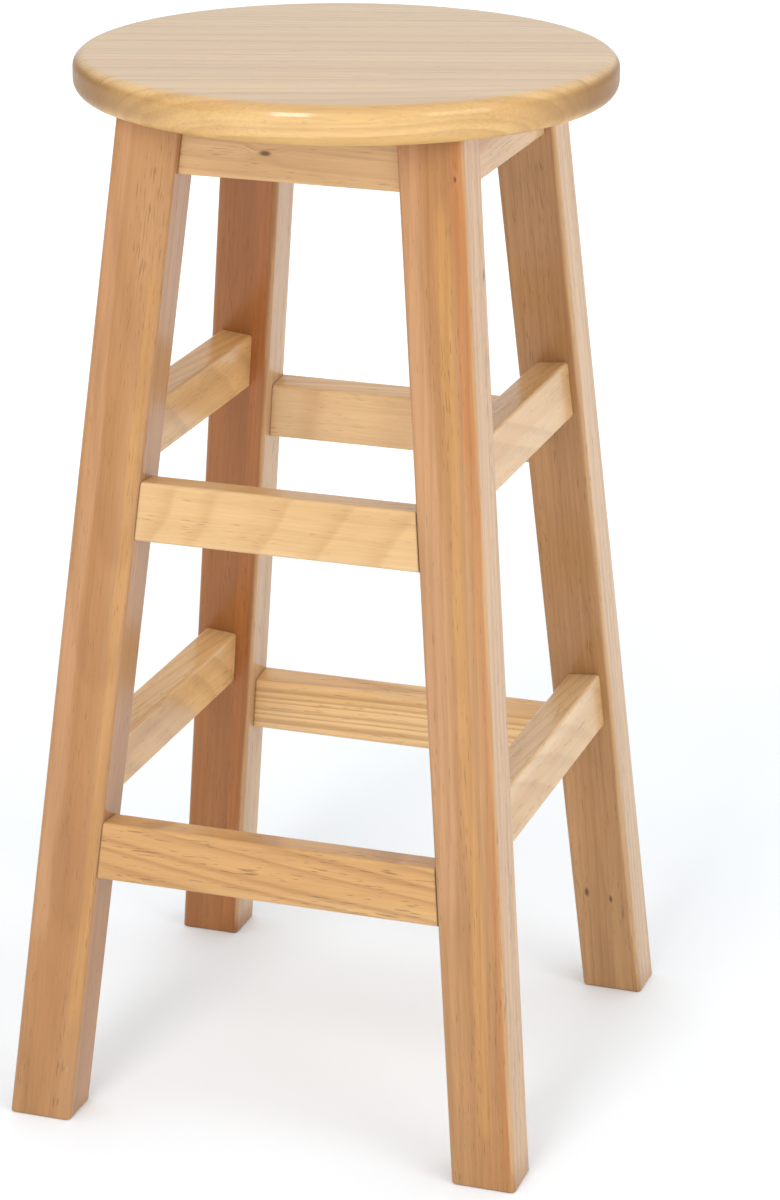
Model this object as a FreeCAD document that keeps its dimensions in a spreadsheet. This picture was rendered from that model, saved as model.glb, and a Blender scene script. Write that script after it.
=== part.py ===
import FreeCAD, Part
import math
import os

import Sketcher
from FreeCAD import Placement, Rotation, Vector

# Stool with a round seat, four legs splayed both ways and two tiers of rungs.
# The origin is on the floor under the seat's centre: +Z is up, and the front rungs are on the -Y side.
# Lengths are in millimetres and angles in degrees. "End" rungs are the front and back ones.

SIZES = {
    # seat: a round panel, edge-glued from boards
    "stool_height": 600,
    "seat_diameter": 300,
    "seat_thickness": 22,
    "seat_top_round": 7,
    "seat_bottom_round": 9,
    "board_width": 75,
    "seat_turn": 18,
    # legs: a level cut through one is leg_width along X by leg_depth along Y
    "foot_spread": 304,
    "splay": 5.42,
    "leg_width": 37,
    "leg_depth": 31,
    "leg_arris": 3,
    "foot_chamfer": 1,
    # rungs: each top is the height of the outer face's upper edge
    "rung_height": 33.5,
    "rung_thickness": 20,
    "rung_arris": 2,
    "end_lower_top": 180.8,
    "end_upper_top": 377.8,
    "side_lower_top": 214.5,
    "side_upper_top": 411.2,
    "end_setback": 1.5,
    "side_setback": 6,
    # oval tenons on the rungs
    "tenon_thickness": 10,
    "tenon_height": 24,
    "tenon_length": 18,
    # what each mortise and hole has over what goes in it: at its bottom, and all round
    "spare_depth": 1,
    "glue_gap": 0.05,
    # aprons under the seat, and the dowels that join them to the legs
    "apron_height": 32,
    "apron_thickness": 20,
    "apron_setback": 6,
    "apron_arris": 1.5,
    "dowel_diameter": 8,
    "dowel_pitch": 16,
    "dowel_in_leg": 13,
    "dowel_in_apron": 17,
    "dowel_chamfer": 1,
    # corner blocks, which brace the aprons and carry the seat's screws
    "block_thickness": 20,
    "block_wing": 47,
    "block_gap": 1,
    # pan-head screws from the corner blocks into the aprons
    "brace_screw_diameter": 3.5,
    "brace_screw_length": 23,
    "brace_head_diameter": 7,
    "brace_head_flat": 4.9,
    "brace_head_height": 2.4,
    "brace_screw_offset": 40,
    "brace_wall": 9,
    "brace_bore_diameter": 9,
    # countersunk screws from the corner blocks up into the seat
    "seat_screw_diameter": 4,
    "seat_screw_length": 35,
    "seat_head_diameter": 8,
    "seat_screw_x": 56,
    "seat_screw_y": 58,
    # shared by both kinds of screw
    "screw_tip": 4,
    "recess_width": 1,
    "recess_span": 4,
    "recess_depth": 1.5,
}

# The four sides: the plane that cuts across a rail there, the plane that it runs along,
# which way the side lies from the centre, and the leg's size along the rail.
SIDES = {
    "front": ("YZ_Plane", "XZ_Plane", -1, "Sizes.leg_width"),
    "back": ("YZ_Plane", "XZ_Plane", 1, "Sizes.leg_width"),
    "left": ("XZ_Plane", "YZ_Plane", -1, "Sizes.leg_depth"),
    "right": ("XZ_Plane", "YZ_Plane", 1, "Sizes.leg_depth"),
}
CORNERS = {
    ("front", "left"): (-1, -1),
    ("front", "right"): (1, -1),
    ("back", "right"): (1, 1),
    ("back", "left"): (-1, 1),
}
TIERS = ("lower", "upper")
BOARDS = ("front", "front_middle", "back_middle", "back")

LEG_TOP = "(Sizes.stool_height - Sizes.seat_thickness)"
SLOPE = "tan(Sizes.splay)"

# Tests on finished shapes: an edge this near a level lies on it, an edge this much of the longest one's
# length runs along the piece, and a cut that removes less than this (mm3) has missed.
NEAR = 0.01
LONG_SHARE = 0.6
SMALLEST_CUT = 1


# --- expressions for places that several pieces share -------------------------------------------------

def face_at(height, inset):
    """Distance from the centre plane to a face that lies inset from the legs' outer faces."""
    return f"(Sizes.foot_spread / 2 - {inset} - {SLOPE} * {height})"


def rung_place(side, tier):
    """Centre of a rung's cross-section: distance from the centre plane, and height."""
    kind = "end" if side in ("front", "back") else "side"
    top = f"Sizes.{kind}_{tier}_top"
    sine, cosine = "sin(Sizes.splay)", "cos(Sizes.splay)"
    outer = face_at(top, f"Sizes.{kind}_setback")
    distance = f"({outer} + (Sizes.rung_height * {sine} - Sizes.rung_thickness * {cosine}) / 2)"
    height = f"({top} - (Sizes.rung_height * {cosine} + Sizes.rung_thickness * {sine}) / 2)"
    return distance, height


def tenon_tip(side, tier):
    """Distance from the centre plane to the end of a rung's tenon."""
    leg_size = SIDES[side][3]
    height = rung_place(side, tier)[1]
    return f"({face_at(height, leg_size)} + Sizes.tenon_length)"


def dowel_places(side):
    """Centres of an apron's two dowels in the plane across it."""
    sign = SIDES[side][2]
    inset = "(Sizes.apron_setback + Sizes.apron_thickness / 2)"
    places = []
    for step in (-1, 1):
        height = f"({LEG_TOP} - Sizes.apron_height / 2 + {step} * Sizes.dowel_pitch / 2)"
        places.append((f"{sign} * {face_at(height, inset)}", height))
    return places


APRON_INSET = "(Sizes.apron_setback + Sizes.apron_thickness)"
BRACE_HEIGHT = f"({LEG_TOP} - Sizes.block_thickness / 2)"
BRACE_SEAT = f"({face_at(BRACE_HEIGHT, APRON_INSET)} - Sizes.brace_wall)"


# --- sketches -----------------------------------------------------------------------------------------

def new_sketch(body, name, role, level="0", middle=("0", "0"), turn="0"):
    """A sketch on one of the body's origin planes, moved and turned within it."""
    sketch = body.newObject("Sketcher::SketchObject", name)
    plane = next(item for item in body.Origin.OriginFeatures if item.Role == role)
    sketch.AttachmentSupport = [(plane, "")]
    sketch.MapMode = "FlatFace"
    sketch.setExpression("AttachmentOffset.Base.x", middle[0])
    sketch.setExpression("AttachmentOffset.Base.y", middle[1])
    sketch.setExpression("AttachmentOffset.Base.z", level)
    sketch.setExpression("AttachmentOffset.Rotation.Angle", turn)
    return sketch


def value_of(sketch, expression):
    return float(sketch.evalExpression(expression))


def dimension(sketch, kind, *where, to):
    """Add a dimension and bind it to an expression."""
    index = sketch.addConstraint(Sketcher.Constraint(kind, *where, value_of(sketch, to)))
    sketch.setExpression(f"Constraints[{index}]", to)


def fix_point(sketch, geometry, end, place):
    dimension(sketch, "DistanceX", -1, 1, geometry, end, to=place[0])
    dimension(sketch, "DistanceY", -1, 1, geometry, end, to=place[1])


def draw_outline(sketch, corners):
    """A closed polygon whose corners are pairs of expressions."""
    points = [Vector(value_of(sketch, across), value_of(sketch, up), 0) for across, up in corners]
    edges = []
    for start, end in zip(points, points[1:] + points[:1]):
        edges.append(sketch.addGeometry(Part.LineSegment(start, end)))
    for edge, following in zip(edges, edges[1:] + edges[:1]):
        sketch.addConstraint(Sketcher.Constraint("Coincident", edge, 2, following, 1))
    for edge, corner in zip(edges, corners):
        fix_point(sketch, edge, 1, corner)


def draw_circles(sketch, centres, radius):
    for centre in centres:
        point = Vector(value_of(sketch, centre[0]), value_of(sketch, centre[1]), 0)
        circle = sketch.addGeometry(Part.Circle(point, Vector(0, 0, 1), value_of(sketch, radius)))
        fix_point(sketch, circle, 3, centre)
        dimension(sketch, "Radius", circle, to=radius)


def draw_oval(sketch, width, height):
    """A slot with round ends, upright and centred on the sketch's origin."""
    radius = value_of(sketch, width) / 2
    rise = (value_of(sketch, height) - 2 * radius) / 2
    upper = Part.Circle(Vector(0, rise, 0), Vector(0, 0, 1), radius)
    lower = Part.Circle(Vector(0, -rise, 0), Vector(0, 0, 1), radius)
    top = sketch.addGeometry(Part.ArcOfCircle(upper, 0, math.pi))
    left = sketch.addGeometry(Part.LineSegment(Vector(-radius, rise, 0), Vector(-radius, -rise, 0)))
    bottom = sketch.addGeometry(Part.ArcOfCircle(lower, math.pi, 2 * math.pi))
    right = sketch.addGeometry(Part.LineSegment(Vector(radius, -rise, 0), Vector(radius, rise, 0)))
    for edge, following in ((top, left), (left, bottom), (bottom, right), (right, top)):
        sketch.addConstraint(Sketcher.Constraint("Tangent", edge, 2, following, 1))
    for arc, sign in ((top, 1), (bottom, -1)):
        sketch.addConstraint(Sketcher.Constraint("PointOnObject", arc, 3, -2))
        dimension(sketch, "DistanceY", -1, 1, arc, 3, to=f"{sign} * ({height} - {width}) / 2")
        dimension(sketch, "Radius", arc, to=f"{width} / 2")


# --- features -----------------------------------------------------------------------------------------

def new_body(document, label):
    body = document.addObject("PartDesign::Body", label)
    body.Label = label
    return body


def pad(body, sketch, length, symmetric=False, slant=None):
    """Pad a sketch along its normal, to both sides, or along a slanted direction."""
    feature = body.newObject("PartDesign::Pad", sketch.Name + "_pad")
    feature.Profile = sketch
    feature.setExpression("Length", length)
    if symmetric:
        feature.SideType = "Symmetric"
    if slant:
        feature.UseCustomVector = True
        feature.AlongSketchNormal = True
        for axis, part in zip("xyz", slant):
            feature.setExpression(f"Direction.{axis}", part)
    return feature


def pocket(body, sketch, length=None, backwards=False):
    """Cut a sketch to a length, or right through the body both ways where no length is given."""
    feature = body.newObject("PartDesign::Pocket", sketch.Name + "_cut")
    feature.Profile = sketch
    if length is None:
        feature.Type = "ThroughAll"
        feature.SideType = "Symmetric"
    else:
        feature.setExpression("Length", length)
        feature.Reversed = backwards
    return feature


def dress(body, kind, size, edge_test):
    """Fillet or chamfer the edges of the body's last feature that pass the test."""
    body.Document.recompute()
    base = body.Tip
    names = [f"Edge{n}" for n, edge in enumerate(base.Shape.Edges, start=1) if edge_test(edge)]
    feature = body.newObject(f"PartDesign::{kind}", f"{body.Name}_{kind.lower()}")
    feature.Base = (base, names)
    feature.setExpression("Radius" if kind == "Fillet" else "Size", size)
    return feature


def long_edge_test(body):
    """A test for the edges that run the length of the body's last feature."""
    body.Document.recompute()
    longest = max(edge.Length for edge in body.Tip.Shape.Edges)
    return lambda edge: edge.Length > LONG_SHARE * longest


def lies_at(edge, height):
    return abs(edge.BoundBox.ZMin - height) < NEAR and abs(edge.BoundBox.ZMax - height) < NEAR


def bore(body, name, role, sign, centres, radius, depth):
    """Round holes from the centre plane outwards, to the side that sign points to."""
    sketch = new_sketch(body, name, role)
    draw_circles(sketch, centres, radius)
    # A pocket runs against its sketch's normal, which is +X on YZ_Plane and -Y on XZ_Plane.
    backwards = sign > 0 if role == "YZ_Plane" else sign < 0
    return pocket(body, sketch, depth, backwards)


# --- seat ---------------------------------------------------------------------------------------------

def make_seat_board(document, number):
    """One board of the seat: the round panel cut down to a strip along the body's own X."""
    name = BOARDS[number]
    body = new_body(document, f"seat_board_{name}")
    disc = new_sketch(body, f"{name}_disc", "XY_Plane", level=LEG_TOP)
    draw_circles(disc, [("0", "0")], "Sizes.seat_diameter / 2")
    pad(body, disc, "Sizes.seat_thickness")
    underside, top = value_of(disc, LEG_TOP), value_of(disc, "Sizes.stool_height")
    dress(body, "Fillet", "Sizes.seat_bottom_round", lambda edge: lies_at(edge, underside))
    dress(body, "Fillet", "Sizes.seat_top_round", lambda edge: lies_at(edge, top))

    reach = "Sizes.seat_diameter"
    for step, sign in ((number, -1), (number + 1, 1)):
        if 0 < step < len(BOARDS):
            joint = f"{step - len(BOARDS) // 2} * Sizes.board_width"
            beyond = f"{sign} * {reach}"
            waste = new_sketch(body, f"{name}_waste_{step}", "XY_Plane", level=LEG_TOP)
            draw_outline(waste, [(f"-{reach}", joint), (reach, joint),
                                 (reach, beyond), (f"-{reach}", beyond)])
            pocket(body, waste)

    if name.endswith("middle"):
        drill_for_seat_screws(body, name, -1 if name.startswith("front") else 1)
    body.setExpression("Placement.Rotation.Angle", "Sizes.seat_turn")
    return body


def drill_for_seat_screws(body, name, sign):
    """The pair of blind holes under a middle board, placed in the board's own turned frame."""
    sine, cosine = "sin(Sizes.seat_turn)", "cos(Sizes.seat_turn)"
    centres = []
    for side in (-1, 1):
        across, along = f"{side} * Sizes.seat_screw_x", f"{sign} * Sizes.seat_screw_y"
        centres.append((f"({across}) * {cosine} + ({along}) * {sine}",
                        f"({along}) * {cosine} - ({across}) * {sine}"))
    pilots = new_sketch(body, f"{name}_pilots", "XY_Plane", level=LEG_TOP)
    draw_circles(pilots, centres, "Sizes.seat_screw_diameter / 2 + Sizes.glue_gap")
    depth = "Sizes.seat_screw_length - Sizes.block_thickness + Sizes.spare_depth"
    pocket(body, pilots, depth, backwards=True)


# --- legs ---------------------------------------------------------------------------------------------

def make_leg(document, sides):
    across, along = CORNERS[sides]
    name = "_".join(sides)
    body = new_body(document, f"leg_{name}")
    outer_x, outer_y = f"{across} * Sizes.foot_spread / 2", f"{along} * Sizes.foot_spread / 2"
    inner_x = f"{across} * {face_at('0', 'Sizes.leg_width')}"
    inner_y = f"{along} * {face_at('0', 'Sizes.leg_depth')}"
    foot = new_sketch(body, f"{name}_foot", "XY_Plane")
    draw_outline(foot, [(outer_x, outer_y), (inner_x, outer_y), (inner_x, inner_y), (outer_x, inner_y)])
    pad(body, foot, LEG_TOP, slant=(f"{-across} * {SLOPE}", f"{-along} * {SLOPE}", "1"))
    dress(body, "Fillet", "Sizes.leg_arris", long_edge_test(body))
    dress(body, "Chamfer", "Sizes.foot_chamfer", lambda edge: lies_at(edge, 0))

    for side, outward in zip(sides, (across, along)):
        for tier in TIERS:
            cut_mortise(body, f"{name}_{side}_{tier}", side, tier, outward)
        inner_face = face_at(dowel_places(side)[0][1], SIDES[side][3])
        depth = f"{inner_face} + Sizes.dowel_in_leg + Sizes.spare_depth"
        bore(body, f"{name}_{side}_dowel_holes", SIDES[side][0], outward, dowel_places(side),
             "Sizes.dowel_diameter / 2 + Sizes.glue_gap", depth)
    return body


def cut_mortise(body, name, side, tier, outward):
    """An oval mortise in a leg, which leans as the rung's section does."""
    role, _, sign, _ = SIDES[side]
    distance, height = rung_place(side, tier)
    sketch = new_sketch(body, f"{name}_mortise", role, middle=(f"{sign} * {distance}", height),
                        turn=f"{sign} * Sizes.splay")
    draw_oval(sketch, "(Sizes.tenon_thickness + 2 * Sizes.glue_gap)",
              "(Sizes.tenon_height + 2 * Sizes.glue_gap)")
    backwards = outward > 0 if role == "YZ_Plane" else outward < 0
    pocket(body, sketch, f"{tenon_tip(side, tier)} + Sizes.spare_depth", backwards)


# --- rungs and aprons ---------------------------------------------------------------------------------

def cut_shoulders(body, name, side):
    """Trim a rail's ends to the inner faces of its two legs."""
    _, role, _, leg_size = SIDES[side]
    beyond = "Sizes.foot_spread"
    sketch = new_sketch(body, f"{name}_ends", role)
    for sign in (-1, 1):
        draw_outline(sketch, [
            (f"{sign} * {face_at('0', leg_size)}", "0"),
            (f"{sign} * {beyond}", "0"),
            (f"{sign} * {beyond}", LEG_TOP),
            (f"{sign} * {face_at(LEG_TOP, leg_size)}", LEG_TOP),
        ])
    pocket(body, sketch)


def make_rung(document, side, tier):
    name = f"{side}_{tier}"
    role, _, sign, _ = SIDES[side]
    distance, height = rung_place(side, tier)
    middle, turn = (f"{sign} * {distance}", height), f"{sign} * Sizes.splay"
    body = new_body(document, f"rung_{tier}_{side}")
    section = new_sketch(body, f"{name}_section", role, middle=middle, turn=turn)
    half_width, half_height = "Sizes.rung_thickness / 2", "Sizes.rung_height / 2"
    draw_outline(section, [(f"-{half_width}", f"-{half_height}"), (half_width, f"-{half_height}"),
                           (half_width, half_height), (f"-{half_width}", half_height)])
    pad(body, section, "Sizes.foot_spread", symmetric=True)
    cut_shoulders(body, name, side)
    tenons = new_sketch(body, f"{name}_tenons", role, middle=middle, turn=turn)
    draw_oval(tenons, "Sizes.tenon_thickness", "Sizes.tenon_height")
    pad(body, tenons, f"2 * {tenon_tip(side, tier)}", symmetric=True)
    dress(body, "Fillet", "Sizes.rung_arris", long_edge_test(body))
    return body


def make_apron(document, side):
    """An apron leans with the legs, and is level above and below."""
    role, along_role, sign, leg_size = SIDES[side]
    body = new_body(document, f"apron_{side}")
    bottom = f"({LEG_TOP} - Sizes.apron_height)"
    section = new_sketch(body, f"{side}_apron", role)
    draw_outline(section, [
        (f"{sign} * {face_at(LEG_TOP, 'Sizes.apron_setback')}", LEG_TOP),
        (f"{sign} * {face_at(bottom, 'Sizes.apron_setback')}", bottom),
        (f"{sign} * {face_at(bottom, APRON_INSET)}", bottom),
        (f"{sign} * {face_at(LEG_TOP, APRON_INSET)}", LEG_TOP),
    ])
    pad(body, section, "Sizes.foot_spread", symmetric=True)
    cut_shoulders(body, f"{side}_apron", side)
    is_long, bottom_height = long_edge_test(body), value_of(section, bottom)
    dress(body, "Fillet", "Sizes.apron_arris", lambda edge: is_long(edge) and lies_at(edge, bottom_height))

    inner_face = face_at(dowel_places(side)[0][1], leg_size)
    for end, word in ((-1, "near"), (1, "far")):
        cut_dowel_holes(body, f"{side}_{word}", side, end, inner_face)
    pilots = [(f"{end} * Sizes.brace_screw_offset", BRACE_HEIGHT) for end in (-1, 1)]
    depth = f"{BRACE_SEAT} + Sizes.brace_screw_length + Sizes.spare_depth"
    bore(body, f"{side}_pilots", along_role, sign, pilots,
         "Sizes.brace_screw_diameter / 2 + Sizes.glue_gap", depth)
    return body


def cut_dowel_holes(body, name, side, end, inner_face):
    """Dowel holes in one end of an apron, from a plane dowel_in_apron short of the leg."""
    role = SIDES[side][0]
    floor = f"({inner_face} - Sizes.dowel_in_apron - Sizes.spare_depth)"
    # YZ_Plane faces +X and XZ_Plane faces -Y, so the level's sign differs between the two.
    facing = 1 if role == "YZ_Plane" else -1
    sketch = new_sketch(body, f"{name}_dowel_holes", role, level=f"{facing * end} * {floor}")
    draw_circles(sketch, dowel_places(side), "Sizes.dowel_diameter / 2 + Sizes.glue_gap")
    pocket(body, sketch, "Sizes.leg_width", backwards=facing * end > 0)


# --- corner blocks ------------------------------------------------------------------------------------

def make_corner_block(document, sides):
    """A block across a corner under the seat: its wings lie on two aprons and its notch clears the leg."""
    across, along = CORNERS[sides]
    name = "_".join(sides)
    body = new_body(document, f"corner_block_{name}")
    level = f"({LEG_TOP} - Sizes.block_thickness)"
    apron = face_at(level, APRON_INSET)
    notch_x = f"({face_at(level, 'Sizes.leg_width')} - Sizes.block_gap)"
    notch_y = f"({face_at(level, 'Sizes.leg_depth')} - Sizes.block_gap)"
    wing_end = f"({apron} - Sizes.block_wing)"
    corners = [(apron, wing_end), (apron, notch_y), (notch_x, notch_y), (notch_x, apron), (wing_end, apron)]
    plan = new_sketch(body, f"{name}_plan", "XY_Plane", level=level)
    draw_outline(plan, [(f"{across} * {east}", f"{along} * {north}") for east, north in corners])
    pad(body, plan, "Sizes.block_thickness", slant=(f"{-across} * {SLOPE}", f"{-along} * {SLOPE}", "1"))

    for side, (role, sign) in ((sides[0], ("XZ_Plane", along)), (sides[1], ("YZ_Plane", across))):
        other = across if role == "XZ_Plane" else along
        centre = [(f"{other} * Sizes.brace_screw_offset", BRACE_HEIGHT)]
        bore(body, f"{name}_{side}_clearance", role, sign, centre,
             "Sizes.brace_screw_diameter / 2 + Sizes.glue_gap", "Sizes.foot_spread / 2")
        bore(body, f"{name}_{side}_head_bore", role, sign, centre,
             "Sizes.brace_bore_diameter / 2", BRACE_SEAT)
    cut_seat_screw_hole(body, name, across, along, level)
    return body


def cut_seat_screw_hole(body, name, across, along, level):
    """A countersunk hole straight up through a corner block."""
    middle = (f"{across} * Sizes.seat_screw_x", f"{along} * Sizes.seat_screw_y")
    hole = new_sketch(body, f"{name}_seat_screw", "XY_Plane", level=level)
    draw_circles(hole, [middle], "Sizes.seat_screw_diameter / 2 + Sizes.glue_gap")
    pocket(body, hole)
    cone = body.newObject("PartDesign::SubtractiveCone", f"{name}_countersink")
    plane = next(item for item in body.Origin.OriginFeatures if item.Role == "XY_Plane")
    cone.AttachmentSupport = [(plane, "")]
    cone.MapMode = "FlatFace"
    for axis, part in zip("xyz", (*middle, level)):
        cone.setExpression(f"AttachmentOffset.Base.{axis}", part)
    cone.setExpression("Radius1", "Sizes.seat_head_diameter / 2 + Sizes.glue_gap")
    cone.setExpression("Radius2", "Sizes.seat_screw_diameter / 2 + Sizes.glue_gap")
    cone.setExpression("Height", "(Sizes.seat_head_diameter - Sizes.seat_screw_diameter) / 2")


# --- dowels and screws: one pattern of each, repeated by links ----------------------------------------

def turned_pattern(document, label, profile):
    """A piece turned about Z from a profile of radius and height pairs."""
    body = new_body(document, label)
    sketch = new_sketch(body, f"{label}_profile", "XZ_Plane")
    draw_outline(sketch, profile)
    turn = body.newObject("PartDesign::Revolution", f"{label}_turn")
    turn.Profile = sketch
    turn.ReferenceAxis = (sketch, ["V_Axis"])
    turn.Angle = 360
    return body


def make_dowel_pattern(document):
    radius, bevel = "Sizes.dowel_diameter / 2", "Sizes.dowel_chamfer"
    length = "(Sizes.dowel_in_leg + Sizes.dowel_in_apron)"
    return turned_pattern(document, "dowel_pattern", [
        ("0", "0"), (f"{radius} - {bevel}", "0"), (radius, bevel),
        (radius, f"{length} - {bevel}"), (f"{radius} - {bevel}", length), ("0", length),
    ])


def make_screw_pattern(document, label, kind, length, head):
    """A screw that points up, with its head at the bottom and a cross recess in it."""
    shank = f"Sizes.{kind}_screw_diameter / 2"
    tip = f"({length} - Sizes.screw_tip)"
    bottom = head[0][1]
    body = turned_pattern(document, label, [("0", bottom), *head, (shank, tip), ("0", length)])
    wide, span = "Sizes.recess_width / 2", "Sizes.recess_span / 2"
    recess = new_sketch(body, f"{label}_recess", "XY_Plane", level=bottom)
    quarter = [(wide, wide), (wide, span), (f"-{wide}", span)]
    corners = []
    for turn in range(4):
        corners.extend(quarter)
        quarter = [(negative(up), across) for across, up in quarter]
    draw_outline(recess, corners)
    pocket(body, recess, "Sizes.recess_depth", backwards=True)
    return body


def negative(expression):
    return expression[1:] if expression.startswith("-") else f"-{expression}"


def repeat(document, label, pattern, places):
    """A group of separate copies of a pattern; each place is a point and the direction of the pattern's Z."""
    copies = []
    for number, (point, direction) in enumerate(places, start=1):
        copy = document.addObject("App::Link", f"{label}_{number}")
        copy.LinkedObject = pattern
        copy.Placement = Placement(Vector(), Rotation(Vector(0, 0, 1), Vector(*direction)))
        for axis, part in zip("xyz", point):
            copy.setExpression(f"Placement.Base.{axis}", part)
        copies.append(copy)
    group = document.addObject("Part::Compound", label)
    group.Label = label
    group.Links = copies
    return group


def rail_frame(side, end, along, across, height):
    """A place on a rail, given along it towards one end and across it, and the direction of that end."""
    sign = SIDES[side][2]
    if SIDES[side][0] == "YZ_Plane":
        return (f"{end} * {along}", across, height), (end, 0, 0), (0, sign, 0)
    return (across, f"{end} * {along}", height), (0, end, 0), (sign, 0, 0)


def make_apron_dowels(document):
    places = []
    for side in SIDES:
        inner_face = face_at(dowel_places(side)[0][1], SIDES[side][3])
        start = f"({inner_face} - Sizes.dowel_in_apron)"
        for end in (-1, 1):
            for across, height in dowel_places(side):
                point, direction, _ = rail_frame(side, end, start, across, height)
                places.append((point, direction))
    return repeat(document, "apron_dowels", make_dowel_pattern(document), places)


def make_brace_screws(document):
    radius, height = "Sizes.brace_head_diameter / 2", "Sizes.brace_head_height"
    head = [("Sizes.brace_head_flat / 2", f"-{height}"), (radius, f"-{height} / 2"), (radius, "0"),
            ("Sizes.brace_screw_diameter / 2", "0")]
    pattern = make_screw_pattern(document, "brace_screw_pattern", "brace", "Sizes.brace_screw_length", head)
    places = []
    for side, (_, _, sign, _) in SIDES.items():
        for end in (-1, 1):
            across = f"{sign} * {BRACE_SEAT}"
            point, _, outward = rail_frame(side, end, "Sizes.brace_screw_offset", across, BRACE_HEIGHT)
            places.append((point, outward))
    return repeat(document, "brace_screws", pattern, places)


def make_seat_screws(document):
    head = [("Sizes.seat_head_diameter / 2", "0"),
            ("Sizes.seat_screw_diameter / 2", "(Sizes.seat_head_diameter - Sizes.seat_screw_diameter) / 2")]
    pattern = make_screw_pattern(document, "seat_screw_pattern", "seat", "Sizes.seat_screw_length", head)
    level = f"({LEG_TOP} - Sizes.block_thickness)"
    places = []
    for across, along in CORNERS.values():
        point = (f"{across} * Sizes.seat_screw_x", f"{along} * Sizes.seat_screw_y", level)
        places.append((point, (0, 0, 1)))
    return repeat(document, "seat_screws", pattern, places)


# --- the stool ----------------------------------------------------------------------------------------

def make_sheet(document):
    sheet = document.addObject("Spreadsheet::Sheet", "Sizes")
    for row, (alias, size) in enumerate(SIZES.items(), start=1):
        sheet.set(f"A{row}", str(size))
        sheet.setAlias(f"A{row}", alias)
    document.recompute()


def make_stool(document):
    make_sheet(document)
    pieces = [make_seat_board(document, number) for number in range(len(BOARDS))]
    pieces += [make_leg(document, sides) for sides in CORNERS]
    pieces += [make_apron(document, side) for side in SIDES]
    pieces += [make_rung(document, side, tier) for tier in TIERS for side in SIDES]
    pieces += [make_corner_block(document, sides) for sides in CORNERS]
    pieces += [make_apron_dowels(document), make_brace_screws(document), make_seat_screws(document)]
    document.recompute()
    return pieces


def check(document, pieces):
    """Stop on a failed object, a cut that removed nothing, or a piece with no sound shape."""
    faults = [item.Name for item in document.Objects if {"Invalid", "Error"} & set(item.State)]
    for item in document.Objects:
        if item.TypeId in ("PartDesign::Pocket", "PartDesign::SubtractiveCone"):
            removed = item.BaseFeature.Shape.Volume - item.Shape.Volume
            if removed < SMALLEST_CUT:
                faults.append(f"{item.Name} cuts nothing")
    faults += [piece.Label for piece in pieces if piece.Shape.isNull() or not piece.Shape.isValid()]
    if faults:
        raise RuntimeError("faults: " + ", ".join(faults))


def main():
    document = FreeCAD.newDocument("Stool")
    pieces = make_stool(document)
    check(document, pieces)
    os.makedirs("parts", exist_ok=True)
    for piece in pieces:
        piece.Shape.exportStep(f"parts/{piece.Label}.step")
        print(f"{piece.Label}: {len(piece.Shape.Solids)} solid, {piece.Shape.Volume / 1000:.1f} cm3")


main()
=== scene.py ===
import math

import bpy
from mathutils import Matrix, Vector


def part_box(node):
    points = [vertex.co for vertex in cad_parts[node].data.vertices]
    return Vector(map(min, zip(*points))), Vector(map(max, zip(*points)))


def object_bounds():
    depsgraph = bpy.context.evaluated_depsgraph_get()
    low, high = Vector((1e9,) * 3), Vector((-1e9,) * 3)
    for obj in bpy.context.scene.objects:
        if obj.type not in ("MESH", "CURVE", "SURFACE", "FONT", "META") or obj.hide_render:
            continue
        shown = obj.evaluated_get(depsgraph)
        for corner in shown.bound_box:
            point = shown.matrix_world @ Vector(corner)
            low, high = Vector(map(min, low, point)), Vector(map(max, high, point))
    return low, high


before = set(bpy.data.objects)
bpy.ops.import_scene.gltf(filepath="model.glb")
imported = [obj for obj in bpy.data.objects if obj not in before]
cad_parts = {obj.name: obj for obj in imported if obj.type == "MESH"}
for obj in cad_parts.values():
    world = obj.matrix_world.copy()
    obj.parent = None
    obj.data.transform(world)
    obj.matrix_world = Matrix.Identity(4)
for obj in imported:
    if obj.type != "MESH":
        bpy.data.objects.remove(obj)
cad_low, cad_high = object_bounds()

# A varnished wooden stool. Lengths are in metres, angles in degrees, and colours are linear.
# Every piece keeps its CAD mesh and gets a solid wood texture of its own, laid out in the piece's own
# directions: u along the grain, v across the piece's wide side and w through it.

MM = 0.001

# --- the stool's layout, as the frame has it ------------------------------------------------------------
LEAN = math.radians(5.42)
LEG_WIDTH, LEG_DEPTH = 37 * MM, 31 * MM
RAIL_HEIGHT, RAIL_THICKNESS = 33.5 * MM, 20 * MM
BOARD_WIDTH = 75 * MM
SEAT_TURN = math.radians(18)
FOOT_REACH = cad_high.x
SEAT_TOP = cad_high.z
SIDES = {"front": (0, -1), "back": (0, 1), "left": (-1, 0), "right": (1, 0)}
CORNERS = {"front_left": (-1, -1), "front_right": (1, -1), "back_right": (1, 1), "back_left": (-1, 1)}
BOARDS = ("front", "front_middle", "back_middle", "back")

# --- camera, floor and light ----------------------------------------------------------------------------
VIEW_AZIMUTH, VIEW_ELEVATION, VIEW_ROLL = 18.3, 19.43, 0.356
VIEW_DISTANCE = 2.1391
LENS_MM, SENSOR_MM = 111.26, 36
NEAREST_SEEN, FARTHEST_SEEN = 0.05, 60
AIM_HEIGHT, AIM_RIGHT = 0.2807, 0.0257

FLOOR_HALF = 14.0
FLOOR_DULL, FLOOR_BRIGHT = (0.89, 0.90, 0.92), (0.92, 0.93, 0.95)
FLOOR_MOTTLE, FLOOR_ROUGHNESS = 3.0, 0.75
# Painted light: the floor glows faintly, less beside the stool than away from it, between these distances,
# which paints shade around the stool; beside the stool the glow is bluish, against the wood's warm bounce.
NEAR_GLOW, FAR_GLOW = (0.03, 0.062, 0.078), (0.30, 0.30, 0.30)
GLOW_STARTS, GLOW_FULL = 0.3, 1.6

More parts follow.
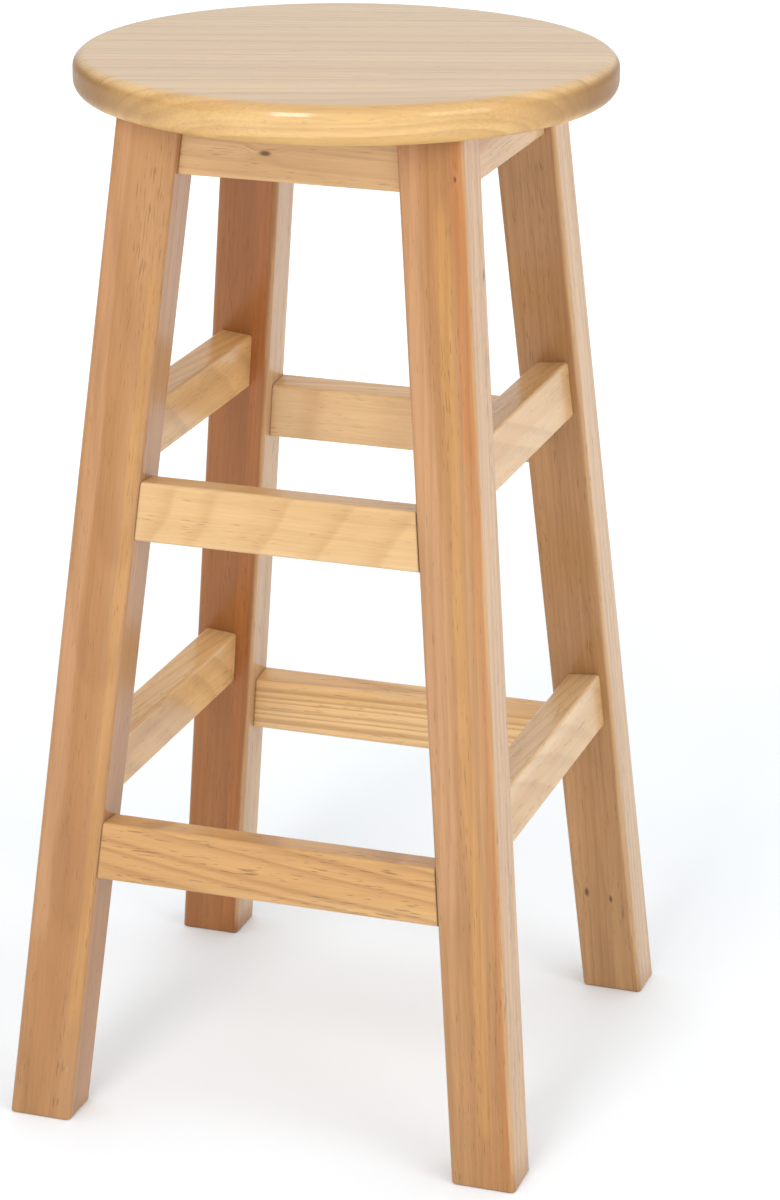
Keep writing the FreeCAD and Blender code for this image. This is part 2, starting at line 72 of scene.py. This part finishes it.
SKY_FRONT, SKY_LEFT, SKY_BACK, SKY_OVERHEAD = 0.45, 0.25, 0.75, 1.02
LAMP_AIM = Vector((0, 0, 0.4))


# --- small helpers for node trees -----------------------------------------------------------------------

class Graph:
    """Short calls that add linked nodes to one material or world."""

    def __init__(self, owner):
        owner.use_nodes = True
        self.tree = owner.node_tree
        self.tree.nodes.clear()

    def node(self, kind, *values, **settings):
        """Adds a node; values go to its inputs in order, and settings are its properties."""
        made = self.tree.nodes.new(kind)
        for name, value in settings.items():
            setattr(made, name, value)
        for socket, value in zip(made.inputs, values):
            self.feed(socket, value)
        return made

    def feed(self, socket, value):
        if isinstance(value, bpy.types.NodeSocket):
            self.tree.links.new(value, socket)
        else:
            socket.default_value = value

    def math(self, operation, *values):
        return self.node("ShaderNodeMath", *values, operation=operation).outputs[0]

    def vector(self, operation, *values):
        made = self.node("ShaderNodeVectorMath", *values, operation=operation)
        return made.outputs["Value" if operation in ("DOT_PRODUCT", "LENGTH") else "Vector"]

    def scaled(self, where, factors):
        return self.vector("MULTIPLY", where, factors)

    def noise(self, where, detail=2.0, roughness=0.5, colour=False):
        made = self.node("ShaderNodeTexNoise")
        self.feed(made.inputs["Vector"], where)
        made.inputs["Scale"].default_value = 1.0
        made.inputs["Detail"].default_value = detail
        made.inputs["Roughness"].default_value = roughness
        return made.outputs["Color" if colour else "Fac"]

    def grained(self, where, pattern, detail=2.0, roughness=0.5, colour=False):
        """Noise drawn out along the grain, as fine as the pattern's row in FINENESS says."""
        along, across = FINENESS[pattern]
        return self.noise(self.scaled(where, (along, across, across)), detail, roughness, colour)

    def step(self, value, low, high):
        """0 below low, 1 above high, smooth between. The two may be the other way round."""
        made = self.node("ShaderNodeMapRange", interpolation_type="SMOOTHSTEP")
        self.feed(made.inputs["Value"], value)
        for name, setting in (("From Min", low), ("From Max", high)):
            self.feed(made.inputs[name], setting)
        return made.outputs["Result"]

    def mix(self, share, first, second, mode="MIX"):
        made = self.node("ShaderNodeMix", data_type="RGBA", blend_type=mode)
        for index, value in ((0, share), (6, first), (7, second)):
            self.feed(made.inputs[index], value)
        return made.outputs[2]

    def tinted(self, tint, pattern, share, shade):
        """The tint, taken towards a plain shade by a share of a pattern."""
        return self.mix(self.math("MULTIPLY", pattern, share), tint, colour(*shade))

    def bump(self, height, distance, strength=1.0):
        made = self.node("ShaderNodeBump")
        for name, value in (("Strength", strength), ("Distance", distance), ("Height", height)):
            self.feed(made.inputs[name], value)
        return made.outputs[0]

    def ramp(self, value, *stops):
        made = self.node("ShaderNodeValToRGB", value)
        ramp = made.color_ramp
        ramp.interpolation = "EASE"
        while len(ramp.elements) < len(stops):
            ramp.elements.new(0.5)
        for element, (place, level) in zip(ramp.elements, stops):
            element.position = place
            element.color = grey(level)
        return made.outputs["Color"]


def colour(red, green, blue):
    return (red, green, blue, 1.0)


def grey(level):
    return colour(level, level, level)


def finish_material(graph, settings):
    """Ends a material with one shader, whose inputs are set by name."""
    shader = graph.node("ShaderNodeBsdfPrincipled")
    for name, value in settings.items():
        graph.feed(shader.inputs[name], value)
    graph.node("ShaderNodeOutputMaterial", shader.outputs[0])


# --- wood -----------------------------------------------------------------------------------------------

# How finely each pattern in the wood changes, along the grain and across it, in noise cells a metre.
FINENESS = {
    "ring_wander": (3.2, 13.0),
    "zones": (1.7, 30.0),
    "warm_patches": (1.3, 42.0),
    "streaks": (5.0, 150.0),
    "mottle": (16.0, 70.0),
    "fibres": (34.0, 900.0),
    "pore_dashes": (95.0, 1250.0),
    "pore_crowding": (9.0, 120.0),
    "band_edges": (9.0, 120.0),
    "lacquer_ripple": (35.0, 90.0),
}
# The levels between which each noise turns into its pattern.
ZONE_RANGE, WARM_RANGE, STREAK_RANGE = (0.36, 0.64), (0.52, 0.68), (0.44, 0.70)
# How square to the grain a face is where end grain starts to show, and where it shows in full.
END_GRAIN_RANGE = (0.50, 0.95)
# The upward part of a face's normal where the coat starts, and where it is full. Taking the coat off faces
# that look down dims their reflection as painted shade.
UNDERSIDE_SHADE_RANGE = (-0.75, -0.05)

PORE_BROWN, KNOT_BROWN, GLUE_BROWN = (0.16, 0.07, 0.025), (0.11, 0.045, 0.018), (0.10, 0.045, 0.02)
END_BROWN = (0.27, 0.135, 0.045)
KNOT_SHARE, ARRIS_WEAR_AND_HIGHLIGHT_SHARE, GLUE_SHARE = 0.85, 0.28, 0.6
FIBRE_CONTRAST = 0.30
BAND_FADE = 0.02
ARRIS_REACH, ARRIS_EDGE = 3.5 * MM, 0.3 * MM
FIBRE_RELIEF, LACQUER_RELIEF = 0.03 * MM, 0.12 * MM
# Moves the warm patches' noise, so that they do not fall where the zones do.
PATCH_SHIFT = (3.1, 1.7, 0.4)

# What one piece of wood looks like. pith is where the rings' centre line passes, in v and w; tilt is how
# far that line leans against the piece, which turns straight grain into arches; drift is how far the
# rings wander; knots are (u, v, w, radius); bands are coloured streaks along the grain, each with its
# place in v, half width, first and last u, colour and share. The legs' bands on their right side faces are
# not streaks but a painted highlight and painted reflection.
LOOK = dict(
    pale=(0.475, 0.252, 0.105), mid=(0.405, 0.188, 0.064), dark=(0.26, 0.108, 0.032),
    warm=(0.50, 0.185, 0.048),
    pith=(0.01, -0.09), tilt=(0.01, 0.03), spacing=4.2 * MM, drift=5 * MM, seed=(0.0, 0.0, 0.0),
    rings=0.2, streaks=0.22, zones=0.9, pores=0.42, pore_share=0.87, warmth=0.5, knots=(), bands=(),
    coat=0.6, coat_roughness=0.2, roughness=0.42, sheen=0.12, end_grain=0.5, mottle=0.16,
)


def piece_place(graph, origin, rows):
    """The point's place in the piece's own directions, in metres, whole and in parts."""
    point = graph.node("ShaderNodeTexCoord").outputs["Object"]
    local = graph.vector("SUBTRACT", point, tuple(origin))
    parts = [graph.vector("DOT_PRODUCT", local, tuple(row)) for row in rows]
    return graph.node("ShaderNodeCombineXYZ", *parts).outputs[0], parts


def knot_field(graph, where, knots):
    """How deep a point is in a knot, and how far the grain is pushed aside by it."""
    depth, push = 0.0, (0.0, 0.0, 0.0)
    for u, v, w, radius in knots:
        offset = graph.vector("SUBTRACT", where, (u, v, w))
        squeezed = graph.scaled(offset, (0.45, 1.0, 1.0))
        away = graph.math("DIVIDE", graph.vector("LENGTH", squeezed), radius)
        depth = graph.math("MAXIMUM", graph.step(away, 1.25, 0.35), depth)
        near = graph.step(away, 5.0, 0.6)
        sideways = graph.vector("NORMALIZE", graph.scaled(offset, (0.0, 1.0, 1.0)))
        push = graph.vector("MULTIPLY_ADD", sideways, graph.math("MULTIPLY", near, 1.6 * radius), push)
    return depth, push


def band_share(graph, place, across, half_width, first, last, share):
    """How strongly a band shows (a coloured streak in the wood; on the legs' right side faces, a painted
    highlight): soft across the grain, and fading out towards its ends.
    """
    u, v, _ = graph.node("ShaderNodeSeparateXYZ", place).outputs
    raggedness = graph.math("SUBTRACT", graph.grained(place, "band_edges"), 0.5)
    aside = graph.math("ABSOLUTE", graph.math("SUBTRACT", v, across))
    ragged = graph.math("MULTIPLY_ADD", raggedness, 1.6 * half_width, aside)
    within = graph.step(ragged, half_width, 0.45 * half_width)
    begun, unended = graph.step(u, first, first + BAND_FADE), graph.step(u, last, last - BAND_FADE)
    along = graph.math("MULTIPLY", begun, unended)
    return graph.math("MULTIPLY", graph.math("MULTIPLY", within, along), share)


def growth_rings(graph, where, look):
    """0 in the pale early wood, rising to 1 in the thin dark line that ends each ring."""
    noise = graph.grained(where, "ring_wander", 1.5, colour=True)
    wander = graph.vector("SUBTRACT", noise, (0.5, 0.5, 0.5))
    bent = graph.vector("MULTIPLY_ADD", wander, (0.0, look["drift"] * 2, look["drift"] * 2), where)
    tilt_v, tilt_w = look["tilt"]
    pith_v, pith_w = look["pith"]
    beside = graph.math("SUBTRACT", graph.vector("DOT_PRODUCT", bent, (-tilt_v, 1.0, 0.0)), pith_v)
    under = graph.math("SUBTRACT", graph.vector("DOT_PRODUCT", bent, (-tilt_w, 0.0, 1.0)), pith_w)
    square = graph.math("MULTIPLY_ADD", beside, beside, graph.math("MULTIPLY", under, under))
    radius = graph.math("SQRT", square)

    # Good years and bad ones make the rings unevenly wide.
    years = graph.node("ShaderNodeCombineXYZ", graph.math("MULTIPLY", radius, 75.0), 0.0, 0.0).outputs[0]
    count = graph.math("MULTIPLY_ADD", graph.noise(years), 3.0, graph.math("DIVIDE", radius, look["spacing"]))
    age = graph.math("FRACT", count)
    return graph.ramp(age, (0.0, 0.0), (0.35, 0.08), (0.84, 1.0), (1.0, 0.0))


def wood_layers(graph, place, look):
    """Rings, streaks, broad zones, fibres and pores, each from 0 to 1."""
    where = graph.vector("ADD", place, look["seed"])
    rings = growth_rings(graph, where, look)
    streaks = graph.grained(where, "streaks", 4.0, 0.62)
    zones = graph.step(graph.grained(where, "zones", 1.0), *ZONE_RANGE)
    fibres = graph.grained(where, "fibres", 2.0, 0.6)
    dashes = graph.grained(where, "pore_dashes", 1.0, 0.4)
    crowding = graph.grained(where, "pore_crowding", 1.0)
    share = look["pore_share"]
    pores = graph.step(graph.math("MULTIPLY_ADD", crowding, 0.35, dashes), share - 0.04, share + 0.06)
    return rings, streaks, zones, fibres, pores


def wood_tint(graph, place, layers, look):
    """The colour of the wood itself, from its broad zones down to its pores, with the look's bands, some of
    which are a painted highlight.
    """
    rings, streaks, zones, fibres, pores = layers
    tint = graph.tinted(colour(*look["pale"]), zones, look["zones"], look["mid"])
    patches = graph.grained(graph.vector("ADD", place, PATCH_SHIFT), "warm_patches", 1.0)
    tint = graph.tinted(tint, graph.step(patches, *WARM_RANGE), look["warmth"], look["warm"])
    # Bands: coloured streaks, and on the legs' right side faces a painted highlight.
    for across, half_width, first, last, shade, share in look["bands"]:
        band = band_share(graph, place, across, half_width, first, last, share)
        tint = graph.mix(band, tint, colour(*shade))
    tint = graph.tinted(tint, graph.step(streaks, *STREAK_RANGE), look["streaks"], look["dark"])
    tint = graph.tinted(tint, rings, look["rings"], look["dark"])

    fine = graph.math("MULTIPLY_ADD", fibres, FIBRE_CONTRAST, 0.85 - 0.5 * look["mottle"])
    level = graph.math("MULTIPLY_ADD", graph.grained(place, "mottle"), look["mottle"], fine)
    shading = graph.node("ShaderNodeCombineColor", level, level, level).outputs[0]
    tint = graph.mix(1.0, tint, shading, "MULTIPLY")
    return graph.tinted(tint, pores, look["pores"], PORE_BROWN)


def arris(graph, parts, half_sizes):
    """1 on the piece's four long edges, falling to 0 a few millimetres in. It marks where the edges are
    paled, as sanded wear and as a painted highlight.
    """
    near = [graph.step(graph.math("ABSOLUTE", part), half - ARRIS_REACH, half - ARRIS_EDGE)
            for part, half in zip(parts, half_sizes)]
    return graph.math("MULTIPLY", *near)


def lacquer_and_underside_shade(graph, end_on, facing_up, coat):
    """Lacquer soaks into end grain. The coat also fades on faces that look down, which dims their reflection
    as painted shade.
    """
    kept = graph.math("MULTIPLY_ADD", end_on, -0.95, 1.0)
    return graph.math("MULTIPLY", kept, graph.math("MULTIPLY", graph.step(facing_up, *UNDERSIDE_SHADE_RANGE), coat))


def make_wood(name, origin, rows, grain_axis, look, edge=None, seam=None):
    """A varnished wood for one piece. edge is the piece's half sizes in v and w, for its paler arrises, which
    are partly sanded wear and partly a painted highlight; seam makes the dark glue line from the piece's u
    and v."""
    look = {**LOOK, **look}
    material = bpy.data.materials.new(name)
    graph = Graph(material)
    place, (u, v, w) = piece_place(graph, origin, rows)
    knot, push = knot_field(graph, place, look["knots"])
    if look["knots"]:
        place = graph.vector("ADD", place, push)
    layers = wood_layers(graph, place, look)
    _, streaks, _, fibres, pores = layers

    tint = wood_tint(graph, place, layers, look)
    if look["knots"]:
        tint = graph.tinted(tint, knot, KNOT_SHARE, KNOT_BROWN)
    if edge:
        # Pales the long edges, partly as sanded wear and partly as a painted highlight.
        tint = graph.tinted(tint, arris(graph, (v, w), edge), ARRIS_WEAR_AND_HIGHLIGHT_SHARE, look["pale"])
    if seam:
        tint = graph.tinted(tint, seam(graph, u, v), GLUE_SHARE, GLUE_BROWN)
    normal = graph.node("ShaderNodeNewGeometry").outputs["Normal"]
    squareness = graph.math("ABSOLUTE", graph.vector("DOT_PRODUCT", normal, tuple(grain_axis)))
    end_on = graph.step(squareness, *END_GRAIN_RANGE)
    tint = graph.tinted(tint, end_on, look["end_grain"], END_BROWN)

    facing_up = graph.node("ShaderNodeSeparateXYZ", normal).outputs["Z"]
    height = graph.math("MULTIPLY_ADD", fibres, 0.5, graph.math("MULTIPLY", pores, -1.0))
    streak_roughness = graph.math("MULTIPLY_ADD", streaks, 0.12, look["roughness"] - 0.06)
    finish_material(graph, {
        "Base Color": tint,
        "Roughness": graph.math("MULTIPLY_ADD", pores, 0.25, streak_roughness),
        "Normal": graph.bump(height, FIBRE_RELIEF, 0.6),
        "Specular IOR Level": look["sheen"],
        # The coat fades on faces that look down, as painted shade.
        "Coat Weight": lacquer_and_underside_shade(graph, end_on, facing_up, look["coat"]),
        "Coat Roughness": look["coat_roughness"],
        "Coat Normal": graph.bump(graph.grained(place, "lacquer_ripple"), LACQUER_RELIEF, 0.5),
    })
    return material


def make_zinc():
    """Zinc-plated screws: a pale metal with faint turning marks."""
    material = bpy.data.materials.new("zinc_screw")
    graph = Graph(material)
    point = graph.node("ShaderNodeTexCoord").outputs["Object"]
    cloud = graph.noise(graph.scaled(point, (700.0, 700.0, 700.0)), 3.0)
    marks = graph.noise(graph.scaled(point, (2500.0, 2500.0, 9000.0)))
    finish_material(graph, {
        "Metallic": 1.0,
        "Base Color": graph.mix(cloud, colour(*ZINC_DULL), colour(*ZINC_BRIGHT)),
        "Roughness": graph.math("MULTIPLY_ADD", marks, 0.25, 0.2),
        "Normal": graph.bump(marks, ZINC_RELIEF),
    })
    return material


# --- each kind of piece ---------------------------------------------------------------------------------

def paint(node, material):
    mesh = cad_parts[node].data
    mesh.materials.clear()
    mesh.materials.append(material)


def centre(node):
    low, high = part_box(node)
    return (low + high) / 2


def paint_leg(corner, look):
    across, along = CORNERS[corner]
    slope = math.tan(LEAN)
    foot = Vector((across * (FOOT_REACH - LEG_WIDTH / 2), along * (FOOT_REACH - LEG_DEPTH / 2), 0))
    rows = ((0, 0, 1), (1, 0, across * slope), (0, 1, along * slope))
    axis = Vector((-across * slope, -along * slope, 1)).normalized()
    material = make_wood(f"leg_{corner}_wood", foot, rows, axis, look, edge=(LEG_WIDTH / 2, LEG_DEPTH / 2))
    paint(f"leg_{corner}", material)


def rail_rows(side):
    """A rail's length, its leaning height and its thickness."""
    x, y = SIDES[side]
    sine, cosine = math.sin(LEAN), math.cos(LEAN)
    length = Vector((abs(y), abs(x), 0))
    height = Vector((-x * sine, -y * sine, cosine))
    thickness = Vector((abs(x) * cosine, abs(y) * cosine, (x + y) * sine))
    return length, height, thickness


def paint_rail(node, side, look):
    """A rung or an apron, with a glue line where each shoulder meets its leg."""
    rows = rail_rows(side)
    middle = centre(node)
    leg_size = LEG_WIDTH if SIDES[side][0] == 0 else LEG_DEPTH
    shoulder = FOOT_REACH - leg_size - math.tan(LEAN) * middle.z

    def glue_line(graph, u, v):
        reach = graph.math("MULTIPLY_ADD", v, math.tan(LEAN), graph.math("ABSOLUTE", u))
        return graph.step(reach, shoulder - 0.9 * MM, shoulder - 0.1 * MM)

    material = make_wood(f"{node}_wood", middle, rows, rows[0], look,
                         edge=(RAIL_HEIGHT / 2, RAIL_THICKNESS / 2), seam=glue_line)
    paint(node, material)


def paint_board(number, look):
    """A seat board, with a glue line along each side that meets another board."""
    cosine, sine = math.cos(SEAT_TURN), math.sin(SEAT_TURN)
    rows = ((cosine, sine, 0), (-sine, cosine, 0), (0, 0, 1))
    offset = (number - (len(BOARDS) - 1) / 2) * BOARD_WIDTH
    middle = Vector((0, 0, SEAT_TOP)) + Vector(rows[1]) * offset
    joints = [side for side in (-1, 1) if 0 <= number + side < len(BOARDS)]
    starts, full = BOARD_WIDTH / 2 - 0.45 * MM, BOARD_WIDTH / 2 - 0.1 * MM

    def glue_line(graph, u, v):
        lines = [graph.step(graph.math("MULTIPLY", v, side), starts, full) for side in joints]
        return graph.math("ADD", *lines) if len(lines) > 1 else lines[0]

    node = f"seat_board_{BOARDS[number]}"
    paint(node, make_wood(f"{node}_wood", middle, rows, rows[0], look, seam=glue_line))


def paint_block(corner, look):
    x, y = CORNERS[corner]
    diagonal = Vector((x, -y, 0)).normalized()
    rows = (diagonal, Vector((x, y, 0)).normalized(), (0, 0, 1))
    node = f"corner_block_{corner}"
    paint(node, make_wood(f"{node}_wood", centre(node), rows, diagonal, look))


ZINC_DULL, ZINC_BRIGHT = (0.55, 0.54, 0.50), (0.76, 0.74, 0.66)
ZINC_RELIEF = 0.02 * MM
ORANGE, GOLD = (0.52, 0.18, 0.048), (0.56, 0.29, 0.085)
# The second colour here is a painted highlight, laid on the legs' right side faces and their right arrises.
PINK, PAINTED_SIDE_HIGHLIGHT = (0.54, 0.29, 0.145), (0.62, 0.40, 0.21)

# u is the height on a leg; v grows to the right and w to the back.
LEG_LOOKS = {
    "front_left": dict(seed=(0.31, 0.02, 0.11), pith=(0.03, -0.07), bands=(
        (-0.012, 0.006, 0.10, 0.60, PINK, 0.5), (0.014, 0.004, 0.05, 0.50, GOLD, 0.5))),
    "front_right": dict(
        seed=(1.37, 0.07, 0.05), pith=(-0.02, -0.08),
        knots=((0.5566, 0.0135, -0.0155, 0.0008), (0.5015, 0.0185, 0.0095, 0.0017)),
        bands=((-0.011, 0.008, 0.15, 0.60, PINK, 0.6), (0.004, 0.005, 0.02, 0.55, GOLD, 0.5),
               (0.0160, 0.0060, 0.40, 0.60, ORANGE, 0.45), (0.0165, 0.005, 0.0, 0.45, ORANGE, 0.35),
               # Painted highlight on the right side face and its arrises.
               (0.0195, 0.003, 0.0, 0.60, PAINTED_SIDE_HIGHLIGHT, 0.8))),
    "back_right": dict(
        seed=(2.11, 0.13, 0.19), pith=(0.05, 0.07), pale=(0.53, 0.30, 0.135), mid=(0.43, 0.225, 0.09),
        knots=((0.0659, -0.0095, -0.0155, 0.0015), (0.0633, 0.0055, -0.0155, 0.0012)),
        # Painted highlight on the right side face and its arrises.
        bands=((0.0195, 0.004, 0.0, 0.60, PAINTED_SIDE_HIGHLIGHT, 0.8),)),
    "back_left": dict(
        seed=(3.73, 0.23, 0.09), pith=(-0.04, -0.06), pale=(0.42, 0.175, 0.055), mid=(0.35, 0.13, 0.035),
        warm=(0.47, 0.155, 0.035),
        # Painted highlight on the right side face and its arrises.
        bands=((0.011, 0.005, 0.0, 0.60, ORANGE, 0.5), (0.0195, 0.004, 0.0, 0.60, PAINTED_SIDE_HIGHLIGHT, 1.0))),
}
RAIL_LOOK = dict(pale=(0.73, 0.50, 0.27), mid=(0.64, 0.40, 0.175), dark=(0.42, 0.21, 0.07),
                 warm=(0.62, 0.34, 0.14), pith=(0.0, -0.035), tilt=(0.02, 0.12), spacing=6.5 * MM, rings=0.28,
                 streaks=0.18, pores=0.32)
DEEP_RAIL_LOOK = dict(RAIL_LOOK, pale=(0.65, 0.39, 0.162), mid=(0.565, 0.305, 0.11), dark=(0.32, 0.14, 0.045),
                      pith=(0.09, 0.02), tilt=(-0.12, 0.0), spacing=9 * MM, drift=9 * MM, rings=0.45,
                      pores=0.55, pore_share=0.85)
SHADED_RAIL_LOOK = dict(RAIL_LOOK, pale=(0.79, 0.50, 0.22), mid=(0.71, 0.425, 0.165), dark=(0.40, 0.20, 0.07))
LINED_RAIL_LOOK = dict(RAIL_LOOK, pale=(0.84, 0.565, 0.28), mid=(0.76, 0.46, 0.19), pith=(-0.06, 0.0),
                       tilt=(0.03, 0.0), spacing=4.5 * MM, rings=0.5)
APRON_LOOK = dict(pale=(0.70, 0.465, 0.24), mid=(0.595, 0.365, 0.172), dark=(0.36, 0.17, 0.06), pores=0.35)
APRON_KNOT = (-0.0136, -0.002, -0.010, 0.0017)
SEAT_LOOK = dict(pale=(0.68, 0.43, 0.17), mid=(0.59, 0.345, 0.12), dark=(0.36, 0.17, 0.05),
                 warm=(0.64, 0.33, 0.11), pith=(-0.03, -0.06), spacing=8 * MM, drift=9 * MM, rings=0.30,
                 streaks=0.12, zones=0.7, pores=0.2, coat=1.0, coat_roughness=0.14, roughness=0.36,
                 end_grain=0.95, mottle=0.1)
BLOCK_LOOK = dict(pale=(0.66, 0.46, 0.26), mid=(0.56, 0.36, 0.17), coat=0.0, roughness=0.7)
RUNG_LOOKS = {
    "rung_lower_front": DEEP_RAIL_LOOK,
    "rung_lower_left": SHADED_RAIL_LOOK,
    "rung_upper_left": SHADED_RAIL_LOOK,
    "rung_lower_back": LINED_RAIL_LOOK,
    "rung_upper_front": dict(RAIL_LOOK, pith=(0.012, -0.022), tilt=(0.02, 0.20)),
}


def paint_stool():
    """Each piece of wood gets its own material, moved by its own seed. All the dowels share one."""
    for corner, look in LEG_LOOKS.items():
        paint_leg(corner, look)
    for number, side in enumerate(SIDES):
        knots = (APRON_KNOT,) if side == "front" else ()
        seed = (5.1 + number, 0.31 * number, 0.17)
        paint_rail(f"apron_{side}", side, {**APRON_LOOK, "seed": seed, "knots": knots})
        for level, tier in enumerate(("lower", "upper")):
            seed = (9.7 + 1.3 * number + 0.6 * level, 0.23 * number, 0.41 * level)
            node = f"rung_{tier}_{side}"
            paint_rail(node, side, {**RUNG_LOOKS.get(node, RAIL_LOOK), "seed": seed})
    for number in range(len(BOARDS)):
        paint_board(number, {**SEAT_LOOK, "seed": (0.9 * number, 0.37 * number, 0.05 * number)})
    for number, corner in enumerate(CORNERS):
        paint_block(corner, {**BLOCK_LOOK, "seed": (0.5 * number, 0.2, 0.3)})
    rows = ((1, 0, 0), (0, 1, 0), (0, 0, 1))
    paint("apron_dowels", make_wood("dowel_wood", (0, 0, 0), rows, rows[0], BLOCK_LOOK))
    zinc = make_zinc()
    for node in ("brace_screws", "seat_screws"):
        paint(node, zinc)


# --- stage ----------------------------------------------------------------------------------------------

def direction(azimuth, elevation):
    """The unit vector from the stool towards a place. Azimuth 0 is the front, and 90 is the right."""
    turn, rise = math.radians(azimuth), math.radians(elevation)
    return Vector((math.sin(turn) * math.cos(rise), -math.cos(turn) * math.cos(rise), math.sin(rise)))


def add_camera():
    back = direction(VIEW_AZIMUTH, VIEW_ELEVATION)
    right = direction(VIEW_AZIMUTH + 90, 0)
    aim = Vector((0, 0, AIM_HEIGHT)) + right * AIM_RIGHT
    data = bpy.data.cameras.new("camera")
    data.lens, data.sensor_width = LENS_MM, SENSOR_MM
    data.clip_start, data.clip_end = NEAREST_SEEN, FARTHEST_SEEN
    camera = bpy.data.objects.new("camera", data)
    camera.location = aim + back * VIEW_DISTANCE
    level = (-back).to_track_quat("-Z", "Y").to_matrix()
    camera.rotation_euler = (level @ Matrix.Rotation(math.radians(VIEW_ROLL), 3, "Z")).to_euler()
    bpy.context.scene.collection.objects.link(camera)
    bpy.context.scene.camera = camera


def make_floor_material():
    material = bpy.data.materials.new("pale_floor")
    graph = Graph(material)
    point = graph.node("ShaderNodeTexCoord").outputs["Object"]
    mottle = graph.noise(graph.scaled(point, (FLOOR_MOTTLE, FLOOR_MOTTLE, FLOOR_MOTTLE)), 3.0)
    away = graph.step(graph.vector("LENGTH", point), GLOW_STARTS, GLOW_FULL)
    finish_material(graph, {
        "Base Color": graph.mix(mottle, colour(*FLOOR_DULL), colour(*FLOOR_BRIGHT)),
        "Roughness": FLOOR_ROUGHNESS,
        # Painted light: the floor glows, dimmer beside the stool as painted shade.
        "Emission Color": graph.mix(away, colour(*NEAR_GLOW), colour(*FAR_GLOW)),
        "Emission Strength": 1.0,
    })
    return material


def add_floor():
    mesh = bpy.data.meshes.new("floor")
    corners = [(x * FLOOR_HALF, y * FLOOR_HALF, 0) for x, y in ((-1, -1), (1, -1), (1, 1), (-1, 1))]
    mesh.from_pydata(corners, [], [(0, 1, 2, 3)])
    mesh.materials.append(make_floor_material())
    floor = bpy.data.objects.new("floor", mesh)
    bpy.context.scene.collection.objects.link(floor)


def add_softbox(name, azimuth, elevation, distance, width, height, power):
    data = bpy.data.lights.new(name, "AREA")
    data.shape = "RECTANGLE"
    data.size, data.size_y = width, height
    data.energy = power
    lamp = bpy.data.objects.new(name, data)
    away = direction(azimuth, elevation)
    lamp.location = LAMP_AIM + away * distance
    lamp.rotation_euler = away.to_track_quat("Z", "Y").to_euler()
    bpy.context.scene.collection.objects.link(lamp)


def add_sky():
    """A white studio that is brightest overhead and dimmest at the left."""
    world = bpy.data.worlds.new("studio")
    bpy.context.scene.world = world
    graph = Graph(world)
    towards = graph.node("ShaderNodeTexCoord").outputs["Generated"]
    aside, ahead, up = graph.node("ShaderNodeSeparateXYZ", towards).outputs
    level = graph.mix(graph.step(ahead, -0.4, 0.5), grey(SKY_FRONT), grey(SKY_BACK))
    level = graph.mix(graph.step(aside, -0.3, -0.9), level, grey(SKY_LEFT))
    shade = graph.mix(graph.step(up, 0.1, 0.75), level, grey(SKY_OVERHEAD))
    background = graph.node("ShaderNodeBackground", shade, 1.0)
    graph.node("ShaderNodeOutputWorld", background.outputs[0])


def set_stage():
    add_camera()
    add_floor()
    add_sky()
    add_softbox("front_strip", azimuth=-4, elevation=28, distance=2.4, width=0.6, height=1.3, power=21)
    add_softbox("right_softbox", azimuth=66, elevation=22, distance=2.4, width=1.2, height=1.2, power=11)
    bpy.context.scene.view_settings.view_transform = "Standard"


paint_stool()
set_stage()
